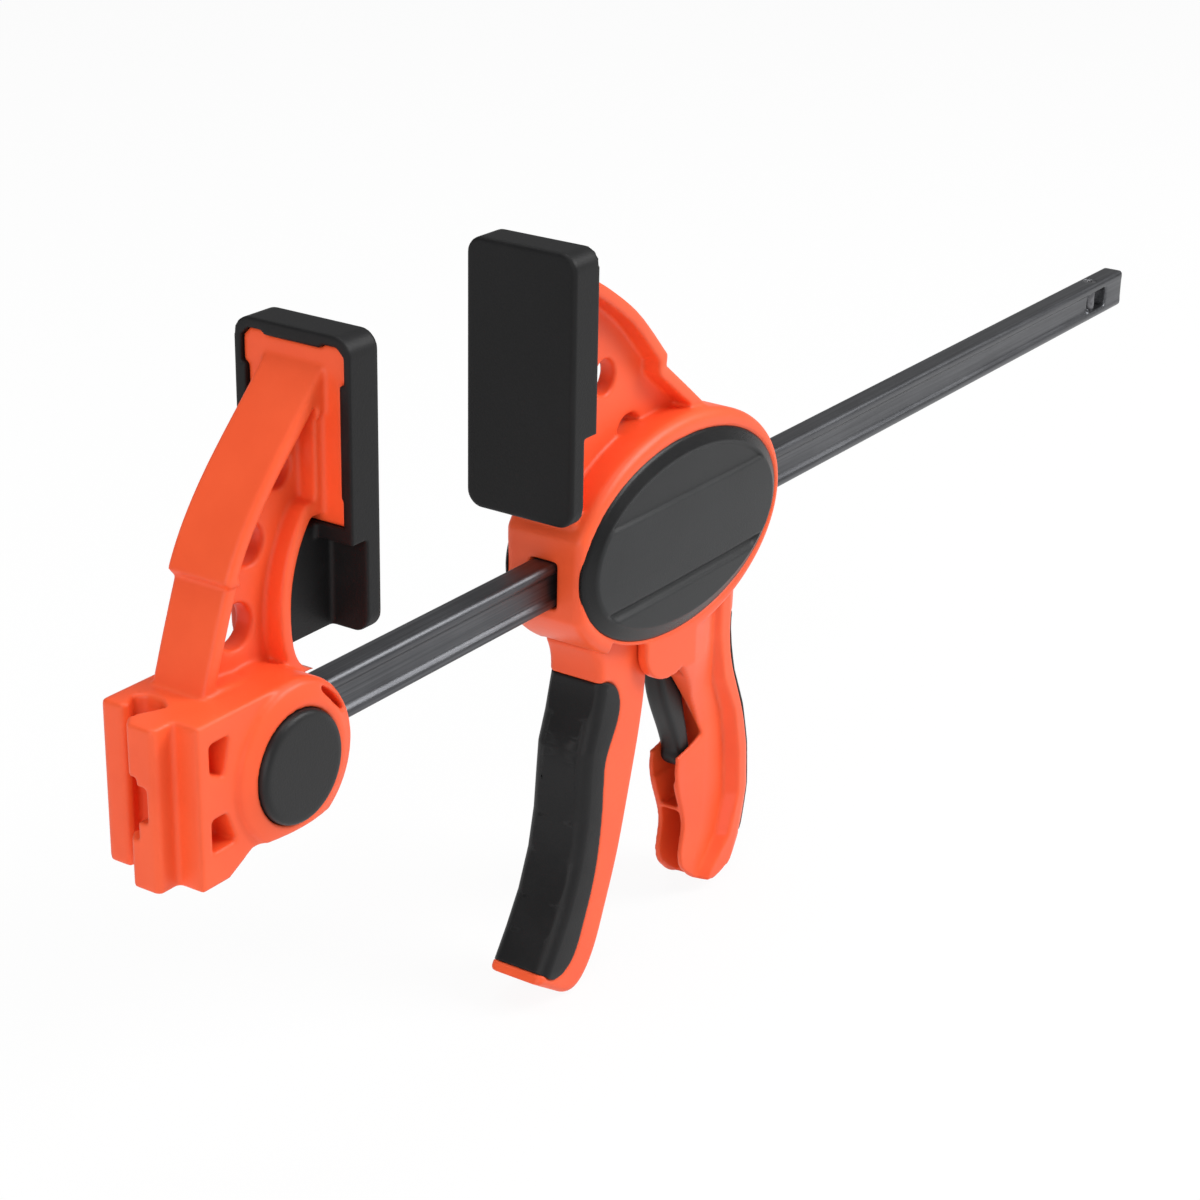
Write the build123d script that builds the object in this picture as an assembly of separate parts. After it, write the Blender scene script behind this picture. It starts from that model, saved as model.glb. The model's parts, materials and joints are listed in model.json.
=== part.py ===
"""Quick release bar clamp: an I-section bar, a fixed jaw locked by a push button, and a pistol grip head.

Frame: X runs along the bar, away from the fixed jaw. Z is up, from the bar to the jaws' tips. Y is across,
and the push button is on the -Y side. The origin is the centre of the fixed jaw's clamping face. Sizes are in
mm, and every piece is drawn with the bar's axis at Z = 0, then lowered so that the face's centre is the origin.
"""
from build123d import *
import math
import os

# Bar
BAR_HEIGHT = 12.5
BAR_WIDTH = 7.8
BAR_START = -52.0
BAR_END = 430.0
BAR_FLANGE = 2.6
BAR_RECESS = 1.2
BAR_ROUND = 1.0
BAR_SOLID_END = 26.0
BAR_FIT = 0.2
WINDOW_LENGTH = 13.0
WINDOW_HEIGHT = 6.6
WINDOW_FROM_END = 19.5
CROSS_PIN_RADIUS = 2.2

# Pads and the plates that they slip over
PAD_WIDTH = 32.0
PAD_BOTTOM = 20.9
PAD_HEIGHT = 69.3
PAD_THICKNESS = 10.1
PAD_STEP_HEIGHT = 22.5
PAD_LIP_THICKNESS = 5.0
PAD_CORNER = 4.4
PAD_EDGE = 0.9
PAD_SPINE_HALF_WIDTH = 5.7
PAD_SPINE_TOP = 46.6
PAD_EMBED = 1.0
JAW_OPENING = 73.9
FACE_CENTRE_HEIGHT = PAD_BOTTOM + PAD_HEIGHT / 2
PLATE_WIDTH = 26.0
PLATE_EAR_WIDTH = 28.4
PLATE_BOTTOM = 47.0
PLATE_TOP = 87.6
PLATE_EAR_HEIGHT = 8.0
PLATE_THICKNESS = 3.6
PLATE_SET_BACK = 0.9
PLATE_FIT = 0.1

# Fixed jaw
BASE_REAR = -61.5
BASE_NEAR = -15.9
BASE_FAR = 11.3
BASE_TOP = 19.0
BASE_BOTTOM = -19.5
BOSS_X = -31.5
BOSS_RADIUS = 19.3
BOSS_BOTTOM = -15.5
RIM_RADIUS = 14.6
RIM_STEP = 1.1
RIM_HEIGHT = 2.6
ARM_HALF_WIDTH = 8.5
ARM_LOWER_HALF_WIDTH = 7.5
ARM_EDGE = 0.8
BASE_EDGE = 1.5
WEB_HALF_THICKNESS = 2.6
FLANGE_THICKNESS = 3.6
WINDOW_DEPTH = 6.0

# Push button, lock yoke and spring
BUTTON_X = BAR_START + WINDOW_FROM_END
BUTTON_RADIUS = 13.2
BUTTON_FIT = 0.08
BUTTON_FACE = -20.2
BUTTON_BACK = -9.5
BUTTON_WALL = 2.4
BUTTON_FLOOR = -6.1
YOKE_LEG_HALF_WIDTH = 4.5
YOKE_LEG_THICKNESS = 2.0
YOKE_GAP = 0.6
YOKE_CROSSBAR = (4.6, 6.2)
TOOTH_TIP = 0.9
TOOTH_NEAR = 2.6
TOOTH_FAR = 5.8
TOOTH_HALF_HEIGHT = 2.9
CAP_RADIUS = 12.0
CAP_THICKNESS = 1.6

# Head: housing, covers and handle
HOUSING_X = 132.0
HOUSING_Z = 2.0
HOUSING_HALF_LENGTH = 50.5
HOUSING_HALF_HEIGHT = 32.0
HOUSING_HALF_WIDTH = 12.2
HOUSING_FRONT = 84.6
HOUSING_EDGE = 2.8
COVER_HALF_LENGTH = 47.2
COVER_HALF_HEIGHT = 27.2
COVER_FACE = 14.6
COVER_SEAT = 11.4
COVER_FIT = 0.12
COVER_BEVEL = 2.4
CAVITY_HALF_WIDTH = 8.9
CAVITY_FRONT = 95.5
CAVITY_REAR = 163.0
CAVITY_WALL = 4.0
COVER_WINDOW = (34.0, 15.0)
COVER_WINDOW_DEPTH = 3.6
COVER_RELIEF = 0.6
COVER_GROOVE = (-11.4, -9.8)
COVER_STEP = 13.2
RIB = (134.0, 136.4)
RIB_BOTTOM = -9.5
RIB_TOP = 31.0
LEDGE_BOTTOM = 16.5

# Handle
HANDLE_SLOT_HALF_WIDTH = 3.0
HANDLE_FRONT = 112.0
HANDLE_SECTIONS = [
    (-38.0, [(140, 12.2), (150, 9.8), (157.6, 6.8), (159.4, 8.5), (164, 8.4), (168, 6.8), (172, 3.0)]),
    (-52.0, [(146, 7.8), (152, 6.9), (160.4, 5.4), (162.2, 8.6), (167, 8.5), (171, 6.8), (175, 3.0)]),
    (-64.0, [(150, 4.9), (158, 5.3), (166.8, 4.7), (168.5, 8.6), (172.5, 8.5), (176.5, 6.8), (180, 3.0)]),
    (-78.0, [(148, 4.9), (158, 5.3), (169.8, 4.4), (171.6, 8.6), (175.5, 8.5), (180, 6.6), (184, 3.0)]),
    (-92.0, [(149, 4.5), (158, 5.1), (170.6, 4.3), (172.5, 8.6), (176, 8.5), (181, 6.6), (185, 3.0)]),
    (-104.0, [(150, 4.5), (156, 4.9), (166.2, 4.5), (168.2, 8.5), (173, 8.4), (179, 6.4), (183, 3.0)]),
    (-112.0, [(150, 4.5), (153, 4.8), (157.6, 5.0), (160, 7.8), (170, 8.2), (176, 6.2), (180, 3.0)]),
    (-120.0, [(150, 4.5), (152, 4.8), (154, 5.4), (156, 7.4), (168, 8.0), (174, 6.0), (178, 3.0)]),
]
NECK_RISE = 28.0
GRIP_THICKNESS = 1.5
GRIP_TOP = -33.0
GRIP_BOTTOM = -106.0

# Lever
LEVER_PIVOT = (108.0, 15.5)
LEVER_HALF_WIDTH = 8.5
LEVER_CHANNEL_HALF_WIDTH = 5.8
LEVER_PIN_RADIUS = 2.5
LEVER_GRIP_PROUD = 0.4
LEVER_EDGE = 2.0
LEVER_FRONT = [(97.4, -22.0), (99.6, -31.0), (96.6, -42.0), (93.6, -50.0), (92.8, -58.0), (91.8, -69.0),
               (89.4, -80.0), (85.0, -91.0), (79.6, -100.0), (73.3, -109.2)]
LEVER_FOOT = (84.5, -116.6)
LEVER_BACK = [(91.5, -117.8), (98.0, -112.6), (104.0, -101.0), (110.0, -86.0), (114.8, -70.0), (118.9, -55.0),
              (121.6, -42.0), (122.2, -33.0), (120.4, -24.0)]

# Drive plates
DRIVE_PLATE_FRONT = 113.7
DRIVE_PLATE_THICKNESS = 3.0
DRIVE_PLATE_GAP = 0.3
DRIVE_PLATE_HALF_WIDTH = 8.3
DRIVE_PLATE_BOTTOM = -9.5
DRIVE_PLATE_TOP = 12.0

# Brake plate and release trigger, which swing together
BRAKE_PIVOT = (147.0, 17.5)
BRAKE_TILT = 3.5
BRAKE_THICKNESS = 3.0
BRAKE_HALF_WIDTH = 8.3
BRAKE_TOP = 4.0
BRAKE_SHOULDER = -32.0
BRAKE_TAIL_END = -62.0
BRAKE_TAIL_HALF_WIDTH = 2.6
BRAKE_HOLE_FIT = 0.15
TRIGGER_HALF_WIDTH = 3.4
TRIGGER_FIT = 0.25
TRIGGER_EDGE = 1.6

# Fits and springs
PIN_FIT = 0.05
SPRING_RADIUS = 7.9
SPRING_WIRE_RADIUS = 0.55


def side_face(*edges):
    """A face in the XZ plane, closed by its edges."""
    return Plane.XZ * make_face(list(edges))


def side_polygon(*points):
    """A face in the XZ plane with straight sides through the (x, z) points."""
    return Plane.XZ * make_face(Polyline(*points, close=True))


def slab(face, half_width, centre=0.0):
    """The XZ face thickened evenly about the plane Y = centre."""
    return Pos(0, centre, 0) * extrude(face, amount=half_width, both=True)


def rounded_slab(face, half_width, radius):
    """The XZ face thickened evenly about the plane Y = 0, with the rims of its two sides rounded."""
    solid = slab(face, half_width)
    sides = solid.faces().sort_by(Axis.Y)
    return fillet(sides[0].edges() + sides[-1].edges(), radius)


def inset(face, distance):
    """The XZ face drawn in by a distance all round."""
    drawn_in = offset(Plane.XZ.to_local_coords(face), -distance)
    return Plane.XZ * drawn_in.to_splines(3, 0.001)


def both_sides(solid):
    """The solid and its mirror image across the plane Y = 0."""
    return solid + mirror(solid, about=Plane.XZ)


def cross_cylinder(x, z, radius, y_from, y_to):
    """A cylinder along Y between two Y places."""
    length = y_to - y_from
    return Pos(x, y_from + length / 2, z) * Rot(90, 0, 0) * Cylinder(radius, length)


def block(x_from, x_to, y_from, y_to, z_from, z_to):
    """A box between its six faces."""
    centre = ((x_from + x_to) / 2, (y_from + y_to) / 2, (z_from + z_to) / 2)
    return Pos(*centre) * Box(x_to - x_from, y_to - y_from, z_to - z_from)


def bar_passage(x_from, x_to):
    """The clearance that the bar slides through."""
    half_y = BAR_WIDTH / 2 + BAR_FIT
    half_z = BAR_HEIGHT / 2 + BAR_FIT
    return block(x_from, x_to, -half_y, half_y, -half_z, half_z)


def coil(origin, direction, radius, wire_radius, length, turns):
    """A compression spring that starts at origin and runs along direction."""
    rise = length - 2 * wire_radius
    path = Helix(pitch=rise / turns, height=rise, radius=radius)
    section = Plane(origin=path @ 0, z_dir=path % 0) * Circle(wire_radius)
    wound = Pos(0, 0, wire_radius) * sweep(section, path=path, is_frenet=True)
    return Plane(origin=origin, z_dir=direction) * wound


# ---------------------------------------------------------------- bar


def make_bar():
    """Cold drawn I-section bar with a solid, windowed zone near each end."""
    half_y = BAR_WIDTH / 2
    half_z = BAR_HEIGHT / 2
    web_y = half_y - BAR_RECESS
    flank_z = half_z - BAR_FLANGE
    foot_z = flank_z - 0.8
    quarter = [(half_y - BAR_ROUND, half_z), (half_y, half_z - BAR_ROUND), (half_y, flank_z), (web_y, foot_z)]
    outline = (quarter + [(y, -z) for y, z in reversed(quarter)]
               + [(-y, -z) for y, z in quarter] + [(-y, z) for y, z in reversed(quarter)])
    section = Plane.YZ * make_face(Polyline(*outline, close=True))
    bar = Pos(BAR_START, 0, 0) * extrude(section, amount=BAR_END - BAR_START)
    for start in (BAR_START, BAR_END - BAR_SOLID_END):
        bar += block(start, start + BAR_SOLID_END, -half_y + 0.2, half_y - 0.2, -foot_z - 0.2, foot_z + 0.2)
    for x in (BAR_START + WINDOW_FROM_END, BAR_END - WINDOW_FROM_END):
        bar -= slab(Plane.XZ * (Pos(x, 0) * RectangleRounded(WINDOW_LENGTH, WINDOW_HEIGHT, 1.5)), half_y + 1)
        bar -= Pos(x, 0, 0) * Cylinder(CROSS_PIN_RADIUS, BAR_HEIGHT + 2)
    return bar


def make_cross_pin(x):
    """Roll pin pressed vertically through a bar window."""
    pin = Pos(x, 0, 0) * Cylinder(CROSS_PIN_RADIUS, BAR_HEIGHT - 0.6)
    return pin - Pos(x, 0, 0) * Cylinder(CROSS_PIN_RADIUS * 0.45, BAR_HEIGHT)


# ---------------------------------------------------------------- pads and their plates


def plate_blank(growth=0.0, depth=PLATE_THICKNESS):
    """A jaw's plate: a tall rectangle with ears at its corners and a notched top edge."""
    half = PLATE_WIDTH / 2 + growth
    ear = PLATE_EAR_WIDTH / 2 + growth
    low_ear = ear - 0.7
    top = PLATE_TOP + growth
    bottom = PLATE_BOTTOM - growth
    ear_foot = PLATE_TOP - PLATE_EAR_HEIGHT - growth
    low_ear_top = PLATE_BOTTOM + 6.5 + growth
    notch = 7.5
    right = [(notch, top - 0.9), (notch + 1.0, top), (ear - 2, top), (ear, top - 2), (ear, ear_foot),
             (half, ear_foot), (half, low_ear_top), (low_ear, low_ear_top), (low_ear, bottom)]
    outline = right + [(-y, z) for y, z in reversed(right)]
    front = -PAD_THICKNESS + PLATE_SET_BACK + PLATE_THICKNESS + growth
    face = Plane.YZ * make_face(Polyline(*outline, close=True))
    return Pos(front - depth, 0, 0) * extrude(face, amount=depth)


def long_spine():
    """Side view of the fixed pad's spine, which fills the space up to the arm's front edge."""
    foot = PAD_BOTTOM
    top = PAD_SPINE_TOP
    front = -PAD_LIP_THICKNESS + PAD_EMBED
    return side_face(Line((front, foot), (-19.4, foot)),
                     Spline((-19.4, foot), (-20.1, 26.0), (-19.0, 37.0), (-14.6, top)),
                     Line((-14.6, top), (front, top)), Line((front, top), (front, foot)))


def short_spine():
    """Side view of the moving pad's spine, which stops short of the housing's front."""
    front = -PAD_LIP_THICKNESS + PAD_EMBED
    return side_polygon((front, PAD_BOTTOM), (-PAD_THICKNESS, PAD_BOTTOM), (-PAD_THICKNESS, PAD_SPINE_TOP),
                        (front, PAD_SPINE_TOP))


def make_pad(spine):
    """Slip-on pad: a thick upper part with a pocket for the plate, and a thin lower lip with a spine."""
    outline = Pos(0, PAD_BOTTOM + PAD_HEIGHT / 2) * RectangleRounded(PAD_WIDTH, PAD_HEIGHT, PAD_CORNER)
    pad = Pos(-PAD_THICKNESS, 0, 0) * extrude(Plane.YZ * outline, amount=PAD_THICKNESS)
    front = pad.faces().sort_by(Axis.X)[-1]
    pad = fillet(front.edges(), PAD_EDGE)
    step_top = PAD_BOTTOM + PAD_STEP_HEIGHT
    pad -= block(-PAD_THICKNESS - 1, -PAD_LIP_THICKNESS, -PAD_WIDTH, PAD_WIDTH, 0, step_top)
    pad += slab(spine, PAD_SPINE_HALF_WIDTH)
    pocket_depth = PLATE_THICKNESS + PLATE_SET_BACK + 1
    return pad - plate_blank(PLATE_FIT, pocket_depth)


def across_opening(solid):
    """The fixed jaw's piece turned to face it from across the opening."""
    return Pos(JAW_OPENING, 0, 0) * mirror(solid, about=Plane.YZ)


# ---------------------------------------------------------------- fixed jaw


def pierced_arm(face, lower_half_width, wide_zone, holes):
    """I-section arm, wider in one zone of its outline, with both sides pocketed and the web pierced."""
    arm = rounded_slab(face, lower_half_width, ARM_EDGE)
    arm += rounded_slab(face, ARM_HALF_WIDTH, ARM_EDGE) & slab(wide_zone, ARM_HALF_WIDTH + 1)
    depth = ARM_HALF_WIDTH - WEB_HALF_THICKNESS
    pocket = slab(inset(face, FLANGE_THICKNESS), depth / 2, WEB_HALF_THICKNESS + depth / 2)
    arm -= both_sides(pocket)
    for x, z, radius in holes:
        arm -= cross_cylinder(x, z, radius, -WEB_HALF_THICKNESS - 1, WEB_HALF_THICKNESS + 1)
    return arm


def fixed_arm():
    """Arm from the base to the plate, with a stepped outer flange."""
    plate = -PAD_THICKNESS + PLATE_SET_BACK + 1
    lip = (-42.5, 43.0)
    under = (-41.4, 41.6)
    face = side_face(
        Spline((plate, 84.0), (-20.0, 72.0), (-31.0, 60.5), lip), Line(lip, under),
        Spline(under, (-45.5, 31.0), (-50.5, 17.0)), Line((-50.5, 17.0), (-12.0, 13.0)),
        Spline((-12.0, 13.0), (-18.8, 18.0), (-20.4, 25.0), (-19.4, 37.0), (-13.2, 49.0)),
        Line((-13.2, 49.0), (plate, 49.0)), Line((plate, 49.0), (plate, 84.0)),
    )
    holes = [(-33.4, 29.0, 5.3), (-28.4, 46.5, 4.8), (-18.5, 60.7, 4.4)]
    outer_flange = side_polygon((-60, under[1]), (-35.5, under[1]), (-26.0, 58.0), (-14.0, 70.0), (-3.0, 76.0),
                                (-3.0, 90.0), (-60, 90.0))
    return pierced_arm(face, ARM_LOWER_HALF_WIDTH, outer_flange, holes)


def fixed_base():
    """Base block with the round button boss at its front and the conical rim round the button."""
    low_x = BOSS_X + math.sqrt(BOSS_RADIUS ** 2 - BOSS_BOTTOM ** 2)
    flat_x = BOSS_X - math.sqrt(BOSS_RADIUS ** 2 - BASE_TOP ** 2)
    outline = side_face(
        Line((BASE_REAR, BASE_TOP), (BASE_REAR, BASE_BOTTOM)),
        Line((BASE_REAR, BASE_BOTTOM), (-53.0, BASE_BOTTOM)),
        Line((-53.0, BASE_BOTTOM), (-45.5, BOSS_BOTTOM)),
        Line((-45.5, BOSS_BOTTOM), (low_x, BOSS_BOTTOM)),
        ThreePointArc((low_x, BOSS_BOTTOM), (BOSS_X + BOSS_RADIUS, 0), (flat_x, BASE_TOP)),
        Line((flat_x, BASE_TOP), (BASE_REAR, BASE_TOP)),
    )
    half = (BASE_FAR - BASE_NEAR) / 2
    base = slab(outline, half, (BASE_FAR + BASE_NEAR) / 2)
    base = fillet(base.faces().sort_by(Axis.Y)[-1].edges(), BASE_EDGE)
    collar = BOSS_RADIUS - 0.7
    cone_height = RIM_HEIGHT - RIM_STEP
    rim = cross_cylinder(BOSS_X, 0, collar, BASE_NEAR - RIM_STEP, BASE_NEAR)
    rim += (Pos(BOSS_X, BASE_NEAR - RIM_STEP - cone_height / 2, 0) * Rot(90, 0, 0)
            * Cone(collar, RIM_RADIUS, cone_height))
    rim -= block(BOSS_X - 30, BOSS_X + 30, -30, 0, -40, BOSS_BOTTOM)
    return base + rim


def coupling_hook():
    """Hook lip that stands off the base's rear face."""
    face = Plane.XY * make_face(Polyline((-60.0, -9.2), (-66.8, -9.2), (-67.5, -8.4), (-67.5, -2.0),
                                         (-64.8, 0.2), (-60.0, 0.2), close=True))
    return Pos(0, 0, BASE_BOTTOM) * extrude(face, amount=BASE_TOP - BASE_BOTTOM)


def coupling_slot():
    """Dovetail slot beside the hook lip, and the stepped catch in the lip."""
    face = Plane.XY * make_face(Polyline((-69.0, 0.2), (-69.0, 5.0), (-61.5, 5.0), (-60.0, 4.4), (-56.2, 6.6),
                                         (-54.4, 4.4), (-54.2, 0.5), (-56.4, -3.0), (-62.0, -0.4),
                                         (-64.8, 0.2), close=True))
    slot = Pos(0, 0, BASE_BOTTOM - 1) * extrude(face, amount=BASE_TOP - BASE_BOTTOM + 2)
    catch = block(-69, -57, -4.0, 1, -7.8, 6.8) + block(-69, -57, -6.6, 1, -3.4, 5.0)
    return slot + catch


def boss_point(radius, angle):
    """The (x, z) point at a radius and an angle in degrees about the boss's centre."""
    return BOSS_X + radius * math.cos(math.radians(angle)), radius * math.sin(math.radians(angle))


def base_windows():
    """Two tapered windows in the base's near side and the arc slot beside the button."""
    upper = side_polygon((-57.7, 13.7), (-51.3, 14.0), (-53.5, 5.0), (-57.6, 7.0))
    lower = side_polygon((-57.7, -3.8), (-53.0, -3.8), (-50.2, -11.3), (-57.7, -11.5))
    pockets = slab(upper, WINDOW_DEPTH / 2, BASE_NEAR + WINDOW_DEPTH / 2)
    pockets += slab(lower, WINDOW_DEPTH / 2, BASE_NEAR + WINDOW_DEPTH / 2)
    start, middle, end = [boss_point(17.6, angle) for angle in (20, 43, 66)]
    arc = side_face(ThreePointArc(start, middle, end), Spline(end, boss_point(15.7, 43), start))
    return pockets + slab(arc, 2.5, BASE_NEAR)


def lock_pocket():
    """Hollow for the button, the yoke and the cap, across the bar's passage."""
    legs = YOKE_GAP + BAR_HEIGHT / 2 + YOKE_LEG_THICKNESS + 0.3
    pocket = cross_cylinder(BUTTON_X, 0, BUTTON_RADIUS + BUTTON_FIT, -30, BUTTON_FLOOR)
    pocket += block(BUTTON_X - YOKE_LEG_HALF_WIDTH - 0.2, BUTTON_X + YOKE_LEG_HALF_WIDTH + 0.2,
                    BUTTON_FLOOR - 0.5, BASE_FAR - CAP_THICKNESS, -legs, legs)
    pocket += block(BUTTON_X - TOOTH_FAR - 0.4, BUTTON_X + TOOTH_FAR + 0.4,
                    YOKE_CROSSBAR[0] - 0.5, BASE_FAR - CAP_THICKNESS, -legs, legs)
    pocket += cross_cylinder(BUTTON_X, 0, CAP_RADIUS, BASE_FAR - CAP_THICKNESS, BASE_FAR + 1)
    return pocket


def make_fixed_jaw():
    """Moulded fixed jaw: coupling, base, arm and plate."""
    jaw = fixed_base() + coupling_hook() + fixed_arm() + plate_blank()
    jaw -= coupling_slot()
    jaw -= base_windows()
    jaw -= lock_pocket()
    return jaw - bar_passage(BAR_START - 0.4, BOSS_X + BOSS_RADIUS + 1)


def make_button():
    """Round cup that is pushed to free the jaw."""
    cup = cross_cylinder(BUTTON_X, 0, BUTTON_RADIUS, BUTTON_FACE, BUTTON_BACK)
    cup = fillet(cup.faces().sort_by(Axis.Y)[0].edges(), 1.4)
    return cup - cross_cylinder(BUTTON_X, 0, BUTTON_RADIUS - BUTTON_WALL, BUTTON_FACE + BUTTON_WALL, 0)


def make_lock_yoke():
    """Stirrup round the bar: two legs, a crossbar behind the bar and two teeth in the bar's window."""
    inner = BAR_HEIGHT / 2 + YOKE_GAP
    outer = inner + YOKE_LEG_THICKNESS
    x_from, x_to = BUTTON_X - YOKE_LEG_HALF_WIDTH, BUTTON_X + YOKE_LEG_HALF_WIDTH
    head_y = BUTTON_FACE + BUTTON_WALL
    yoke = block(x_from, x_to, head_y, YOKE_CROSSBAR[1], inner, outer)
    yoke += block(x_from, x_to, head_y, YOKE_CROSSBAR[1], -outer, -inner)
    yoke += block(BUTTON_X - TOOTH_FAR, BUTTON_X + TOOTH_FAR, *YOKE_CROSSBAR, -outer, outer)
    for side in (-1, 1):
        near, far = sorted((BUTTON_X + side * TOOTH_NEAR, BUTTON_X + side * TOOTH_FAR))
        yoke += block(near, far, TOOTH_TIP, YOKE_CROSSBAR[0], -TOOTH_HALF_HEIGHT, TOOTH_HALF_HEIGHT)
    return yoke


def make_button_spring():
    """Coil spring between the button and the jaw's floor."""
    start = BUTTON_FACE + BUTTON_WALL
    return coil((BUTTON_X, start, 0), (0, 1, 0), 4.6, 0.45, BUTTON_FLOOR - start, 5)


def make_lock_cap():
    """Disc that closes the yoke's pocket on the far side."""
    return cross_cylinder(BUTTON_X, 0, CAP_RADIUS, BASE_FAR - CAP_THICKNESS, BASE_FAR)


# ---------------------------------------------------------------- head


def oval(half_length, half_height):
    """An ellipse about the housing's centre, in the XZ plane."""
    return Plane.XZ * (Pos(HOUSING_X, HOUSING_Z) * Ellipse(half_length, half_height))


def moving_arm():
    """Arm from the housing to the moving jaw's plate."""
    plate = JAW_OPENING + PAD_THICKNESS - PLATE_SET_BACK - 1
    lip = (128.0, 51.6)
    under = (127.7, 48.6)
    face = side_face(
        Spline((plate, 84.4), (95.2, 78.2), (106.0, 71.6), (113.3, 66.3), (120.6, 59.4), lip), Line(lip, under),
        Spline(under, (133.0, 44.5), (143.3, 36.4), (148.6, 32.3), (157.0, 28.0)),
        Line((157.0, 28.0), (157.0, 16.0)),
        Line((157.0, 16.0), (86.0, 16.0)), Line((86.0, 16.0), (85.0, 49.0)),
        Line((85.0, 49.0), (plate, 49.0)), Line((plate, 49.0), (plate, 84.4)),
    )
    holes = [(107.5, 49.3, 4.7), (119.0, 31.0, 5.6)]
    upper_zone = side_polygon((70, under[1]), (160, under[1]), (160, 90), (70, 90))
    return pierced_arm(face, ARM_HALF_WIDTH - 0.2, upper_zone, holes)


def housing_shell():
    """Oval housing with its front cut flat and the collar trimmed where the lever comes out."""
    shell = slab(oval(HOUSING_HALF_LENGTH, HOUSING_HALF_HEIGHT), HOUSING_HALF_WIDTH)
    shell -= block(70, HOUSING_FRONT, -20, 20, -40, 40)
    sides = shell.faces().sort_by(Axis.Y)
    front = shell.faces().sort_by(Axis.X)[0]
    shell = fillet(sides[0].edges() + sides[-1].edges() + front.edges().filter_by(Axis.Y), HOUSING_EDGE)
    mouth = slab(oval(HOUSING_HALF_LENGTH + 2, HOUSING_HALF_HEIGHT + 2), 20) - slab(
        oval(COVER_HALF_LENGTH + 0.8, COVER_HALF_HEIGHT + 0.8), 20)
    mouth &= block(99, 126, -20, 20, -40, -10)
    return shell - mouth


def cavity():
    """Room for the lever's cheeks, the plates and the springs."""
    room = slab(oval(HOUSING_HALF_LENGTH - CAVITY_WALL, HOUSING_HALF_HEIGHT - CAVITY_WALL), CAVITY_HALF_WIDTH)
    room &= block(CAVITY_FRONT, CAVITY_REAR, -20, 20, -40, 40)
    mouth = side_polygon((97.0, -8.0), (96.6, -40.0), (139.5, -45.0), (139.5, -8.0))
    return room + slab(mouth, CAVITY_HALF_WIDTH)


def cover_seats():
    """Shallow oval recess on each side that the covers drop into."""
    depth = 5.0
    recess = slab(oval(COVER_HALF_LENGTH + COVER_FIT, COVER_HALF_HEIGHT + COVER_FIT), depth / 2,
                  COVER_SEAT + depth / 2)
    window = slab(oval(*COVER_WINDOW), COVER_WINDOW_DEPTH / 2, COVER_SEAT - COVER_WINDOW_DEPTH / 2 + 0.2)
    return both_sides(recess) + both_sides(window)


def guide_rib():
    """Cross wall that the drive spring rests on, with the ledge that the brake plate's top bears on."""
    rib = block(*RIB, -CAVITY_HALF_WIDTH, CAVITY_HALF_WIDTH, RIB_BOTTOM, RIB_TOP)
    ledge_end = BRAKE_PIVOT[0] - BRAKE_THICKNESS / 2 - 0.3
    return rib + block(RIB[0], ledge_end, -CAVITY_HALF_WIDTH, CAVITY_HALF_WIDTH, LEDGE_BOTTOM, RIB_TOP)


def handle_outline():
    """Outline of the rear handle and the neck's rounded lobe, with the trigger's notch between them."""
    return side_face(
        Spline((168.5, -12.0), (167.4, -31.0), (166.6, -42.0), (171.0, -56.0), (177.0, -72.0), (179.8, -90.0),
               (175.4, -108.0), (163.5, -115.4), (152.4, -111.0)),
        Spline((152.4, -111.0), (148.6, -101.5), (149.6, -96.0), (147.0, -86.0), (144.5, -73.0)),
        Line((144.5, -73.0), (144.4, -71.2)), Spline((144.4, -71.2), (150.0, -70.3), (156.7, -68.0)),
        Spline((156.7, -68.0), (150.2, -57.8), (144.8, -50.3), (138.4, -42.2), (133.6, -37.4)),
        Spline((133.6, -37.4), (126.6, -38.2), (119.6, -35.4), (115.8, -29.0)),
        Line((115.8, -29.0), (115.8, -12.0)), Line((115.8, -12.0), (168.5, -12.0)),
    )


def plan_section(half, z):
    """A face at height z whose half widths along X are given from its front to its back, as (x, y) points."""
    outline = half + [(x, -y) for x, y in reversed(half)]
    return Plane.XY.offset(z) * make_face(Polyline(*outline, close=True))


def handle_core():
    """Rear handle: a web with a wide flange along its back, spreading to the housing's width at its top."""
    sections = [plan_section([(HANDLE_FRONT, half[0][1])] + half, z) for z, half in HANDLE_SECTIONS]
    neck = extrude(sections[0], amount=NECK_RISE)
    return slab(handle_outline(), HOUSING_HALF_WIDTH) & (loft(sections, ruled=True) + neck)


def handle_hollow():
    """Room for the trigger's swing, and the hollow below it with one cross rib between them."""
    swing = slab(side_polygon((130, -20), (152, -20), (160, -56), (163, -79.5), (138, -79.5)),
                 TRIGGER_HALF_WIDTH + TRIGGER_FIT)
    lower = slab(side_polygon((138, -89.4), (164, -91), (167, -101), (161, -112), (154, -120), (138, -120)),
                 HANDLE_SLOT_HALF_WIDTH)
    middle = slab(side_polygon((138, -79.0), (163, -79.0), (164, -89.6), (138, -88.2)), HANDLE_SLOT_HALF_WIDTH)
    return swing + middle + lower


def rear_grip_zone():
    """Strip along the handle's back that the rear grip fills."""
    strip = handle_core() - slab(inset(handle_outline(), GRIP_THICKNESS), 20)
    return strip & block(160, 190, -12, 12, GRIP_BOTTOM, GRIP_TOP)


def make_head_body():
    """One moulding: moving arm, plate, housing and rear handle."""
    head = housing_shell() + moving_arm() + across_opening(plate_blank()) + handle_core()
    head -= cavity()
    head -= handle_hollow()
    head += guide_rib()
    head -= cover_seats()
    head -= rear_grip_zone()
    head -= cross_cylinder(*LEVER_PIVOT, LEVER_PIN_RADIUS, -20, 20)
    return head - bar_passage(80, 190)


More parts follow.
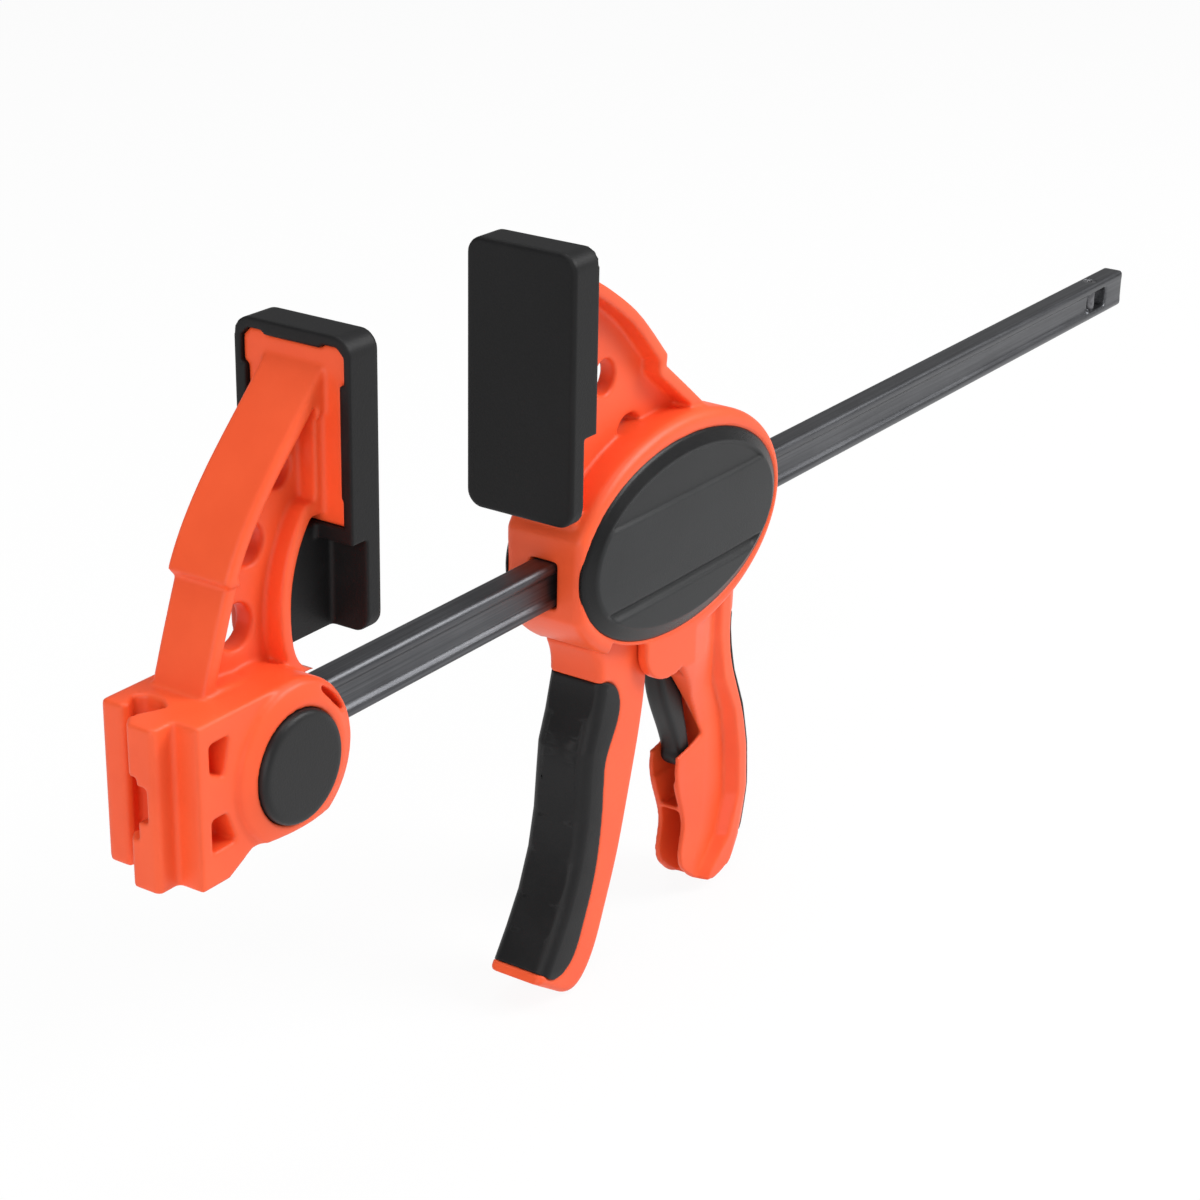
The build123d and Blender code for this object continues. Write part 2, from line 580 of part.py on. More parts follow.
def make_cover():
    """Far side cover: an oval plate with a bevelled rim and a raised band along it."""
    plate = slab(oval(COVER_HALF_LENGTH, COVER_HALF_HEIGHT), (COVER_FACE - COVER_SEAT) / 2,
                 (COVER_FACE + COVER_SEAT) / 2)
    plate = chamfer(plate.faces().sort_by(Axis.Y)[-1].edges(), COVER_BEVEL)
    groove = block(80, 184, COVER_FACE - COVER_RELIEF, COVER_FACE + 1, *COVER_GROOVE)
    upper = block(80, 184, COVER_FACE - COVER_RELIEF, COVER_FACE + 1, COVER_STEP, 40)
    return plate - groove - upper


# ---------------------------------------------------------------- lever


def lever_outline():
    """Outline of the lever: grip below the housing, cheeks and drive nose inside it."""
    px, pz = LEVER_PIVOT
    hub = 7.3
    return side_face(
        Spline(*LEVER_FRONT), Line(LEVER_FRONT[-1], LEVER_FOOT),
        Spline(LEVER_FOOT, *LEVER_BACK),
        Line(LEVER_BACK[-1], (111.8, -16.0)), Line((111.8, -16.0), (108.2, -9.0)),
        Spline((108.2, -9.0), (110.6, -3.2), (113.5, 0.0), (112.6, 4.6), (px + hub, pz - 1.0)),
        ThreePointArc((px + hub, pz - 1.0), (px, pz + hub), (px - hub, pz - 1.0)),
        Line((px - hub, pz - 1.0), (98.6, -6.0)), Line((98.6, -6.0), LEVER_FRONT[0]),
    )


def lever_channel():
    """Hollow between the lever's cheeks, open to the rear and to the housing."""
    inner = [(x + 4.2, z) for x, z in LEVER_FRONT[:-2]]
    return slab(side_face(Spline(*inner), Line(inner[-1], (92.0, -107.0)), Line((92.0, -107.0), (135.0, -107.0)),
                          Line((135.0, -107.0), (135.0, 30.0)), Line((135.0, 30.0), (90.0, 30.0)),
                          Line((90.0, 30.0), (90.0, -18.5)), Line((90.0, -18.5), inner[0])),
                LEVER_CHANNEL_HALF_WIDTH)


def lever_grip_face():
    """Side view of the soft grip on the lever's front."""
    seam = [(100.4, -31.6), (106.4, -34.2), (108.6, -40.0), (106.4, -47.0), (102.4, -54.5), (101.6, -62.0),
            (100.4, -76.0), (97.4, -89.0), (92.6, -100.4), (87.8, -108.0), (81.5, -110.4), (76.4, -107.6)]
    outer = [(86.0, -31.6), (70.0, -60.0), (60.0, -100.0)]
    return side_face(Line(outer[0], seam[0]), Spline(*seam), Line(seam[-1], outer[2]), Line(outer[2], outer[1]),
                     Line(outer[1], outer[0]))


def make_lever():
    """Moulded lever with the grip's recess cut into its front."""
    lever = rounded_slab(lever_outline(), LEVER_HALF_WIDTH, LEVER_EDGE) - lever_channel()
    lever -= cross_cylinder(*LEVER_PIVOT, LEVER_PIN_RADIUS + PIN_FIT, -20, 20)
    return lever - make_lever_grip()


def make_lever_grip():
    """Soft grip over the lever's front and its front corners."""
    outline = lever_outline()
    zone = lever_grip_face()
    skin = rounded_slab(outline, LEVER_HALF_WIDTH + LEVER_GRIP_PROUD, LEVER_EDGE) & slab(zone, 20)
    core = slab(inset(outline, 1.7), LEVER_HALF_WIDTH - 1.2)
    return skin - core


# ---------------------------------------------------------------- drive and brake


def make_drive_plate(index):
    """Hardened plate with a rectangular hole that grips the bar."""
    front = DRIVE_PLATE_FRONT + index * (DRIVE_PLATE_THICKNESS + DRIVE_PLATE_GAP)
    plate = block(front, front + DRIVE_PLATE_THICKNESS, -DRIVE_PLATE_HALF_WIDTH, DRIVE_PLATE_HALF_WIDTH,
                  DRIVE_PLATE_BOTTOM, DRIVE_PLATE_TOP)
    return plate - bar_passage(front - 1, front + DRIVE_PLATE_THICKNESS + 1)


def make_drive_spring():
    """Coil round the bar between the drive plates and the guide rib."""
    start = DRIVE_PLATE_FRONT + 2 * DRIVE_PLATE_THICKNESS + DRIVE_PLATE_GAP + 0.1
    return coil((start, 0, 0), (1, 0, 0), SPRING_RADIUS, SPRING_WIRE_RADIUS, RIB[0] - 0.1 - start, 4)


def brake_blank(fit=0.0):
    """Brake plate in its leaning place, without its hole: a wide body and a narrow tail."""
    half = BRAKE_THICKNESS / 2 + fit
    tail = BRAKE_TAIL_HALF_WIDTH + fit
    plate = block(-half, half, -BRAKE_HALF_WIDTH, BRAKE_HALF_WIDTH, BRAKE_SHOULDER, BRAKE_TOP)
    plate += block(-half, half, -tail, tail, BRAKE_TAIL_END - fit, BRAKE_SHOULDER)
    return Pos(BRAKE_PIVOT[0], 0, BRAKE_PIVOT[1]) * Rot(0, BRAKE_TILT, 0) * plate


def make_brake_plate():
    """Brake plate, leaning forward at its foot so that its hole bites the bar."""
    half_y = BAR_WIDTH / 2 + BAR_FIT
    half_z = BAR_HEIGHT / 2 + BRAKE_HOLE_FIT
    x, z = BRAKE_PIVOT
    hole = block(-5, 5, -half_y, half_y, -z - half_z, -z + half_z)
    return brake_blank() - Pos(x, 0, z) * Rot(0, BRAKE_TILT, 0) * hole


def make_brake_spring():
    """Coil round the bar between the brake plate and the housing's rear wall."""
    start = BRAKE_PIVOT[0] + BRAKE_THICKNESS / 2 + 0.3
    return coil((start, 0, 0), (1, 0, 0), SPRING_RADIUS, SPRING_WIRE_RADIUS, CAVITY_REAR - 0.1 - start, 5)


def make_release_trigger():
    """Finger piece moulded over the brake plate's tail."""
    outline = side_face(
        Spline((136.6, -33.0), (136.9, -43.0), (139.1, -52.2), (144.0, -62.8), (147.6, -71.5)),
        Spline((147.6, -71.5), (149.4, -76.2), (152.2, -76.8), (153.8, -72.6)),
        Spline((153.8, -72.6), (150.9, -61.2), (148.2, -50.5), (147.0, -33.0)),
        Line((147.0, -33.0), (136.6, -33.0)),
    )
    return rounded_slab(outline, TRIGGER_HALF_WIDTH, TRIGGER_EDGE) - brake_blank(PIN_FIT)


def build_nodes():
    """Every node by name, in the bar's own frame."""
    near_cover = mirror(make_cover(), about=Plane.XZ)
    return {
        "bar": make_bar(),
        "jaw_end_pin": make_cross_pin(BAR_START + WINDOW_FROM_END),
        "bar_end_pin": make_cross_pin(BAR_END - WINDOW_FROM_END),
        "fixed_jaw_body": make_fixed_jaw(),
        "fixed_jaw_pad": make_pad(long_spine()),
        "lock_cap": make_lock_cap(),
        "push_button": make_button(),
        "lock_yoke": make_lock_yoke(),
        "button_spring": make_button_spring(),
        "head_body": make_head_body(),
        "moving_jaw_pad": across_opening(make_pad(short_spine())),
        "right_side_cover": near_cover,
        "left_side_cover": make_cover(),
        "handle_grip": rear_grip_zone(),
        "lever_pivot_pin": cross_cylinder(*LEVER_PIVOT, LEVER_PIN_RADIUS, -COVER_SEAT + 0.2, COVER_SEAT - 0.2),
        "lever": make_lever(),
        "lever_grip": make_lever_grip(),
        "front_drive_plate": make_drive_plate(0),
        "rear_drive_plate": make_drive_plate(1),
        "drive_spring": make_drive_spring(),
        "brake_plate": make_brake_plate(),
        "brake_spring": make_brake_spring(),
        "release_trigger": make_release_trigger(),
    }


def main():
    """Write one STEP file per node."""
    os.makedirs("parts", exist_ok=True)
    for name, shape in build_nodes().items():
        export_step(Pos(0, 0, -FACE_CENTRE_HEIGHT) * shape, os.path.join("parts", name + ".step"))


main()
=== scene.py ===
"""Finishes, light and camera for a quick release bar clamp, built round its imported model.

Frame: X runs along the bar, away from the fixed jaw. Z is up, from the bar to the jaws' tips. The push button
is on the -Y side. The origin is the centre of the fixed jaw's clamping face. Sizes are in metres, apart from
those of FrontRound and the camera's lens and sensor, which are in millimetres.
"""

import json
import logging
import math
from dataclasses import dataclass
from enum import Enum, IntEnum
from typing import Any, Iterable, Sequence

import bpy
from mathutils import Matrix, Vector

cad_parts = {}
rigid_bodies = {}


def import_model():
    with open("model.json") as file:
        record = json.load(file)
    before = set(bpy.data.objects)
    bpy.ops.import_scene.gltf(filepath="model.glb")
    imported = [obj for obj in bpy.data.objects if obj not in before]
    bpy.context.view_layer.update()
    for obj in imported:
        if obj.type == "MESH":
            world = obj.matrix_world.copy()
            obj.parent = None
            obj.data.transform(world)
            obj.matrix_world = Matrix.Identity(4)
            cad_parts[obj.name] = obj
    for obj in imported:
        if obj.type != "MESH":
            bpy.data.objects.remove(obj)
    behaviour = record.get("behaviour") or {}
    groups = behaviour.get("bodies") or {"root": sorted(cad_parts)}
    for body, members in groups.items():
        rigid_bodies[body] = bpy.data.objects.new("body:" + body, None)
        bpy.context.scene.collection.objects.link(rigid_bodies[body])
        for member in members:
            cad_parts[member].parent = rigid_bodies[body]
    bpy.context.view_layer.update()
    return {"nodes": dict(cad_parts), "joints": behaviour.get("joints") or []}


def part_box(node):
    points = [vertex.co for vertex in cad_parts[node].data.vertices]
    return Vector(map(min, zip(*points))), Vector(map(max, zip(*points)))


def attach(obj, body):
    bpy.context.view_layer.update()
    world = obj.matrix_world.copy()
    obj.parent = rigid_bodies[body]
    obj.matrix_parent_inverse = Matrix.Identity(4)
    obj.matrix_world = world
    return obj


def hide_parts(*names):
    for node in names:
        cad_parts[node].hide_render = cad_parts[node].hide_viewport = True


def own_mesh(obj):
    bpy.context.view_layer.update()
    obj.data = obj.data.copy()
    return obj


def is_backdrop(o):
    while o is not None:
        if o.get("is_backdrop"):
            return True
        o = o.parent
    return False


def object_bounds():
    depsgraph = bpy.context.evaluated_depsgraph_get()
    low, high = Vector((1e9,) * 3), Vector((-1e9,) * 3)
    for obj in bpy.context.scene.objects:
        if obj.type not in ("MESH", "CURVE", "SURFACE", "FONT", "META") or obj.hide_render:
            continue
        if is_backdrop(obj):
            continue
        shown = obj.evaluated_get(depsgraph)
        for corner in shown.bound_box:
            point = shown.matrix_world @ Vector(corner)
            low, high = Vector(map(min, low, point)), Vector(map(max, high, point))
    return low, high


LOG = logging.getLogger("bar_clamp")
MILLIMETRE = 0.001
BAR_AXIS_Z = -0.05555
NOISE_MIDDLE = 0.5
BEVEL_SAMPLES = 4

Number = int | float
Colour = tuple[float, float, float, float]
Point = tuple[float, float, float]
Span = tuple[float, float]
Nodes = dict[str, bpy.types.Object]

BLACK: Colour = (0.0, 0.0, 0.0, 1.0)
WHITE: Colour = (1.0, 1.0, 1.0, 1.0)


def display(red: Number, green: Number, blue: Number) -> Colour:
    """Turn a display colour into the linear colour that a shader takes, by the sRGB formula.

    Args:
        red: Red, from 0 to 255.
        green: Green, from 0 to 255.
        blue: Blue, from 0 to 255.

    Returns:
        The linear colour, with an alpha of 1.
    """
    def linear(level: Number) -> float:
        """One channel, from 0 to 255, as linear light."""
        part = level / 255
        return part / 12.92 if part <= 0.04045 else ((part + 0.055) / 1.055) ** 2.4

    return (linear(red), linear(green), linear(blue), 1.0)


def smooth_step(share: float) -> float:
    """A smooth step from 0 to 1 as the share goes from 0 to 1."""
    held = min(1.0, max(0.0, share))
    return held * held * (3 - 2 * held)


class Maths(Enum):
    """Operations of the Math node that the finishes use."""

    ADD = "ADD"
    SUBTRACT = "SUBTRACT"
    MULTIPLY = "MULTIPLY"
    POWER = "POWER"
    MAXIMUM = "MAXIMUM"


class Axis(Enum):
    """Coordinates of a point that the finishes use."""

    X = "X"
    Z = "Z"


class MixSocket(IntEnum):
    """The Mix node's sockets for colours, which share their names with others."""

    FACTOR = 0
    FIRST = 6
    SECOND = 7
    RESULT = 2


class ShaderSocket(IntEnum):
    """The Mix Shader node's sockets, two of which share one name."""

    FACTOR = 0
    FIRST = 1
    SECOND = 2


class Ray(Enum):
    """Kinds of ray that the Light Path node tells apart."""

    CAMERA = "Is Camera Ray"
    GLOSSY = "Is Glossy Ray"
    THROUGH = "Is Transmission Ray"


class Lay(Enum):
    """The way that drawn or ground streaks run on a metal piece, as the scale of their noise by axis."""

    ALONG_X = (14.0, 1500.0, 1500.0)
    ALONG_Z = (900.0, 900.0, 30.0)
    NONE = (420.0, 420.0, 420.0)


class Side(IntEnum):
    """The side of the clamp that a cover is on, as the sign of its Y."""

    BUTTON = -1
    FAR = 1


@dataclass(frozen=True)
class Noise:
    """The scale, detail and roughness of one layer of cloudy noise."""

    scale: float
    detail: float = 2.0
    roughness: float = 0.5


class Signal:
    """A node's output, whose arithmetic adds Math nodes to its graph."""

    def __init__(self, graph: "Graph", socket: bpy.types.NodeSocket) -> None:
        """Wrap a socket.

        Args:
            graph: The graph that the socket's node is in.
            socket: The output to wrap.
        """
        self.graph = graph
        self.socket = socket

    def _with(self, operation: Maths, first: Any, second: Any) -> "Signal":
        """One Math node on two values or signals."""
        return self.graph.node("ShaderNodeMath", {"operation": operation.value}, {0: first, 1: second})

    def __add__(self, other: Any) -> "Signal":
        """The sum of both."""
        return self._with(Maths.ADD, self, other)

    def __radd__(self, other: Any) -> "Signal":
        """The sum of both."""
        return self._with(Maths.ADD, other, self)

    def __sub__(self, other: Any) -> "Signal":
        """This less the other."""
        return self._with(Maths.SUBTRACT, self, other)

    def __rsub__(self, other: Any) -> "Signal":
        """The other less this."""
        return self._with(Maths.SUBTRACT, other, self)

    def __mul__(self, other: Any) -> "Signal":
        """The product of both."""
        return self._with(Maths.MULTIPLY, self, other)

    def __rmul__(self, other: Any) -> "Signal":
        """The product of both."""
        return self._with(Maths.MULTIPLY, other, self)

    def __pow__(self, other: Any) -> "Signal":
        """This raised to the other."""
        return self._with(Maths.POWER, self, other)

    def larger(self, other: Any) -> "Signal":
        """The larger of the two."""
        return self._with(Maths.MAXIMUM, self, other)


class Graph:
    """The nodes of one material or of the world."""

    def __init__(self, owner: bpy.types.Material | bpy.types.World, output: str) -> None:
        """Empty the owner's nodes and add its output.

        Args:
            owner: The material or world.
            output: The type of its output node.
        """
        owner.use_nodes = True
        self.owner = owner
        self.tree = owner.node_tree
        self.tree.nodes.clear()
        self.output = self.tree.nodes.new(output)

    def node(self, kind: str, settings: dict[str, Any] | None = None,
             inputs: dict[str | int, Any] | None = None, output: str | int = 0) -> Signal:
        """Add one node, set it and feed it.

        Args:
            kind: The node's type.
            settings: Properties of the node, set before its sockets.
            inputs: Values or signals by socket name or index.
            output: The output to return.

        Returns:
            The chosen output.
        """
        made = self.tree.nodes.new(kind)
        for name, setting in (settings or {}).items():
            setattr(made, name, setting)
        for key, given in (inputs or {}).items():
            if isinstance(given, Signal):
                self.tree.links.new(given.socket, made.inputs[key])
            else:
                made.inputs[key].default_value = given
        return Signal(self, made.outputs[output])

    def place(self) -> Signal:
        """The point on the piece, in metres, which moves with the piece."""
        return self.node("ShaderNodeTexCoord", output="Object")

    def ray(self, kind: Ray) -> Signal:
        """A mask of 1 for rays of one kind."""
        return self.node("ShaderNodeLightPath", output=kind.value)

    def part(self, point: Signal, axis: Axis) -> Signal:
        """One coordinate of a point."""
        return self.node("ShaderNodeSeparateXYZ", inputs={"Vector": point}, output=axis.value)

    def stretched(self, scale: Point) -> Signal:
        """The point on the piece, scaled by three factors."""
        return self.node("ShaderNodeVectorMath", {"operation": "MULTIPLY"}, {0: self.place(), 1: scale})

    def noise(self, point: Signal, noise: Noise) -> Signal:
        """A layer of noise at a point."""
        inputs = {"Vector": point, "Scale": noise.scale, "Detail": noise.detail, "Roughness": noise.roughness}
        return self.node("ShaderNodeTexNoise", inputs=inputs)

    def between(self, signal: Signal, span: Span) -> Signal:
        """A smooth step from 0 at the span's start to 1 at its end."""
        inputs = {"Value": signal, "From Min": span[0], "From Max": span[1]}
        return self.node("ShaderNodeMapRange", {"interpolation_type": "SMOOTHSTEP"}, inputs)

    def blend(self, amount: Signal, first: Any, second: Any) -> Signal:
        """Blend two colours.

        Args:
            amount: How much of the second there is, from 0 to 1.
            first: A colour or a signal.
            second: A colour or a signal.

        Returns:
            The blended colour.
        """
        settings = {"data_type": "RGBA", "blend_type": "MIX"}
        inputs = {MixSocket.FACTOR: amount, MixSocket.FIRST: first, MixSocket.SECOND: second}
        return self.node("ShaderNodeMix", settings, inputs, MixSocket.RESULT)

    def mixed(self, share: Signal, first: Signal, second: Signal) -> Signal:
        """A shader from the first to the second, by a share from 0 to 1."""
        inputs = {ShaderSocket.FACTOR: share, ShaderSocket.FIRST: first, ShaderSocket.SECOND: second}
        return self.node("ShaderNodeMixShader", inputs=inputs)

    def rounded(self, radius: float) -> Signal:
        """The surface's direction, as if its edges had this radius."""
        return self.node("ShaderNodeBevel", {"samples": BEVEL_SAMPLES}, {"Radius": radius})

    def edges(self, rounded: Signal, span: Span) -> Signal:
        """A mask of worn edges.

        Args:
            rounded: The surface's direction with rounded edges.
            span: How far that direction has turned from the true one where the mask starts and is full.

        Returns:
            The mask, 1 on the sharpest edges.
        """
        true = self.node("ShaderNodeNewGeometry", output="Normal")
        facing = self.node("ShaderNodeVectorMath", {"operation": "DOT_PRODUCT"}, {0: rounded, 1: true},
                           output="Value")
        return self.between(1 - facing, span)

    def bump(self, height: Signal, distance: float, normal: Signal) -> Signal:
        """A direction turned by a relief of heights from 0 to 1, over a distance in metres."""
        inputs = {"Height": height, "Distance": distance, "Strength": 1.0, "Normal": normal}
        return self.node("ShaderNodeBump", inputs=inputs)

    def close(self, shader: Signal) -> None:
        """Send a shader to the output."""
        self.tree.links.new(shader.socket, self.output.inputs["Surface"])

    def surface(self, inputs: dict[str, Any]) -> bpy.types.Material:
        """Close the graph with one Principled shader.

        Args:
            inputs: Values or signals of the shader's sockets.

        Returns:
            The finished material.
        """
        self.close(self.node("ShaderNodeBsdfPrincipled", inputs=inputs))
        return self.owner


def material_graph(name: str) -> Graph:
    """An empty graph for a new material."""
    return Graph(bpy.data.materials.new(name), "ShaderNodeOutputMaterial")


@dataclass(frozen=True)
class Moulding:
    """Injection moulded plastic: fine spark texture, soft mottling and edges rubbed a little paler."""

    name: str
    colour: Colour
    deep: Colour
    rubbed: Colour
    roughness: float = 0.4
    relief: float = 0.00003
    edge: float = 0.0009
    specular: float = 0.5
    # Painted shade: a dark colour blended in where the mask method below is set; the roughness is lowered
    # there too.
    painted_shade_colour: Colour = BLACK
    painted_shade_share: float = 0.85
    polish_smoother: float = 0.16
    mottle: Noise = Noise(45.0, 3.0)
    mottle_span: Span = (0.3, 0.7)
    mottle_rough: float = 0.10
    grain: Noise = Noise(2400.0, 2.0, 0.6)
    grain_rough: float = 0.10
    scuff: Noise = Noise(1.0, 4.0, 0.7)
    scuff_lay: Point = (60.0, 260.0, 900.0)
    scuff_span: Span = (0.4, 0.65)
    scuff_rough_span: Span = (0.6, 0.8)
    scuff_rough: float = 0.08
    worn_span: Span = (0.04, 0.35)
    worn_least: float = 0.35
    worn_share: float = 0.5

    def shade_and_gloss_mask(self, graph: Graph) -> Signal | None:
        """A mask of the parts that are smoother and darkened with painted shade, or None where all of it is
        textured.
        """
        return None

    def material(self) -> bpy.types.Material:
        """Make the finish.

        Returns:
            The finish as a material.
        """
        graph = material_graph(self.name)
        point = graph.place()
        mottle = graph.noise(point, self.mottle)
        grain = graph.noise(point, self.grain)
        scuff = graph.noise(graph.stretched(self.scuff_lay), self.scuff)
        rounded = graph.rounded(self.edge)
        scuffed = self.worn_least + (1 - self.worn_least) * graph.between(scuff, self.scuff_span)
        worn = graph.edges(rounded, self.worn_span) * scuffed
        base = graph.blend(graph.between(mottle, self.mottle_span), self.deep, self.colour)
        base = graph.blend(worn * self.worn_share, base, self.rubbed)
        rough = self.roughness + self.mottle_rough * (mottle - NOISE_MIDDLE)
        rough = rough + self.grain_rough * (grain - NOISE_MIDDLE)
        rough = rough + self.scuff_rough * graph.between(scuff, self.scuff_rough_span)
        shade_and_gloss = self.shade_and_gloss_mask(graph)
        if shade_and_gloss is not None:
            # Painted shade: the masked parts are blended towards the dark colour, and made smoother.
            base = graph.blend(self.painted_shade_share * shade_and_gloss, base, self.painted_shade_colour)
            rough = rough - self.polish_smoother * shade_and_gloss
        return graph.surface({"Base Color": base, "Roughness": rough, "Specular IOR Level": self.specular,
                              "Normal": graph.bump(grain, self.relief, rounded)})


@dataclass(frozen=True)
class Rubber:
    """Soft moulded rubber: matte, finely pitted, with a dusty bloom."""

    name: str
    colour: Colour
    bloom: Colour
    roughness: float = 0.62
    relief: float = 0.00005
    edge: float = 0.0008
    specular: float = 0.45
    dust: Noise = Noise(75.0, 5.0, 0.65)
    dust_span: Span = (0.35, 0.75)
    dust_share: float = 0.55
    dust_rough: float = 0.16
    grain: Noise = Noise(1900.0, 3.0, 0.6)
    grain_rough: float = 0.10
    worn_span: Span = (0.05, 0.4)
    worn_share: float = 0.35

    def material(self) -> bpy.types.Material:
        """Make the finish.

        Returns:
            The finish as a material.
        """
        graph = material_graph(self.name)
        point = graph.place()
        dust = graph.noise(point, self.dust)
        grain = graph.noise(point, self.grain)
        rounded = graph.rounded(self.edge)
        worn = graph.edges(rounded, self.worn_span)
        bloomed = self.dust_share * graph.between(dust, self.dust_span) + self.worn_share * worn
        base = graph.blend(bloomed, self.colour, self.bloom)
        rough = self.roughness + self.dust_rough * (dust - NOISE_MIDDLE)
        rough = rough + self.grain_rough * (grain - NOISE_MIDDLE)
        return graph.surface({"Base Color": base, "Roughness": rough, "Specular IOR Level": self.specular,
                              "Normal": graph.bump(grain, self.relief, rounded)})


@dataclass(frozen=True)
class Steel:
    """Drawn or ground steel: streaks along its lay, darker oxide and edges rubbed bright."""

    name: str
    colour: Colour
    oxide: Colour
    bright: Colour
    lay: Lay = Lay.NONE
    roughness: float = 0.4
    metallic: float = 0.9
    relief: float = 0.00002
    edge: float = 0.0004
    streak: Noise = Noise(1.0, 4.0, 0.6)
    streak_share: float = 0.7
    streak_rough: float = 0.22
    patch: Noise = Noise(38.0, 4.0, 0.6)
    patch_rough: float = 0.12
    speck: Noise = Noise(2600.0, 1.0)
    speck_share: float = 0.2
    speck_rough: float = 0.06
    clean_span: Span = (0.36, 0.64)
    worn_span: Span = (0.05, 0.35)
    worn_patch_span: Span = (0.3, 0.6)
    worn_share: float = 0.6

    def material(self) -> bpy.types.Material:
        """Make the finish.

        Returns:
            The finish as a material.
        """
        graph = material_graph(self.name)
        streak = graph.noise(graph.stretched(self.lay.value), self.streak)
        patch = graph.noise(graph.place(), self.patch)
        speck = graph.noise(graph.place(), self.speck)
        rounded = graph.rounded(self.edge)
        worn = graph.edges(rounded, self.worn_span) * graph.between(patch, self.worn_patch_span)
        clean = self.streak_share * streak + (1 - self.streak_share) * patch
        base = graph.blend(graph.between(clean, self.clean_span), self.oxide, self.colour)
        base = graph.blend(self.worn_share * worn, base, self.bright)
        rough = self.roughness + self.streak_rough * (streak - NOISE_MIDDLE)
        rough = rough + self.patch_rough * (patch - NOISE_MIDDLE)
        rough = rough + self.speck_rough * (speck - NOISE_MIDDLE)
        height = (1 - self.speck_share) * streak + self.speck_share * speck
        return graph.surface({"Base Color": base, "Roughness": rough, "Metallic": self.metallic,
                              "Normal": graph.bump(height, self.relief, rounded)})


def dress(nodes: Nodes, names: Iterable[str], material: bpy.types.Material) -> None:
    """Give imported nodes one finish.

    Args:
        nodes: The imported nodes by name.
        names: The nodes to dress.
        material: What they are made of.
    """
    for name in names:
        for slot in nodes[name].material_slots:
            slot.material = material
        LOG.info("%s: %s", name, material.name)


def add_piece(name: str, mesh: bpy.types.Mesh, material: bpy.types.Material, body: str,
              stands_for: str) -> bpy.types.Object:
    """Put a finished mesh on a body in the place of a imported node.

    Args:
        name: The new piece's name.
        mesh: Its mesh, in place.
        material: What it is made of.
        body: The body that it moves with.
        stands_for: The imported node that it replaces.

    Returns:
        The new piece.
    """
    mesh.materials.clear()
    mesh.materials.append(material)
    mesh.shade_smooth()
    piece = bpy.data.objects.new(name, mesh)
    bpy.context.scene.collection.objects.link(piece)
    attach(piece, body)
    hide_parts(stands_for)
    LOG.info("%s: %d faces on %s", name, len(mesh.polygons), body)
    return piece


@dataclass(frozen=True)
class Softening:
    """How far a piece's edges are rounded: a fine even mesh, relaxed a number of times.

    Where merged is set, flat stretches are joined up to that angle in degrees. Otherwise a share of the faces
    is kept.
    """

    grid: float = 0.00045
    passes: int = 9
    kept: float = 0.4
    merged: float = 0.0
    weld: float = 0.01 * MILLIMETRE
    relaxed: float = 0.5

    def mesh(self, node: bpy.types.Object) -> bpy.types.Mesh:
        """A node's shape with every edge and corner rounded.

        Args:
            node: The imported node, which stays as it is.

        Returns:
            The new mesh.
        """
        work = bpy.data.objects.new("work", node.data.copy())
        bpy.context.scene.collection.objects.link(work)
        weld = work.modifiers.new("weld", "WELD")
        weld.merge_threshold = self.weld
        even = work.modifiers.new("even", "REMESH")
        even.mode = "VOXEL"
        even.voxel_size = self.grid
        relax = work.modifiers.new("relax", "SMOOTH")
        relax.factor = self.relaxed
        relax.iterations = self.passes
        fewer = work.modifiers.new("fewer", "DECIMATE")
        fewer.ratio = self.kept
        if self.merged:
            fewer.decimate_type = "DISSOLVE"
            fewer.angle_limit = math.radians(self.merged)
        finished = work.evaluated_get(bpy.context.evaluated_depsgraph_get())
        mesh = bpy.data.meshes.new_from_object(finished)
        bpy.data.objects.remove(work)
        return mesh


@dataclass
class Jaws:
    """The orange mouldings and the pads."""

    shell: Moulding = Moulding(
        "orange_moulding", display(243, 92, 48), display(237, 86, 43), display(252, 130, 92), roughness=0.42,
        specular=0.35,
    )
    pad: Rubber = Rubber("pad_rubber", display(20, 20, 21), display(27, 27, 28), roughness=0.5, specular=0.22)
    shell_softening: Softening = Softening()
    pad_softening: Softening = Softening(0.0004, 3, 0.3)

    def build(self, nodes: Nodes) -> None:
        """Build the rounded mouldings and pads.

        Args:
            nodes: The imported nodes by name.
        """
        orange = self.shell.material()
        mouldings = (("fixed_jaw_body", "bar_and_fixed_jaw"), ("head_body", "head"), ("lever", "lever"))
        for node, body in mouldings:
            mesh = self.shell_softening.mesh(nodes[node])
            add_piece(node + "_moulding", mesh, orange, body, node)
        rubber = self.pad.material()
        for node, body in (("fixed_jaw_pad", "bar_and_fixed_jaw"), ("moving_jaw_pad", "head")):
            mesh = self.pad_softening.mesh(nodes[node])
            add_piece(node + "_rubber", mesh, rubber, body, node)


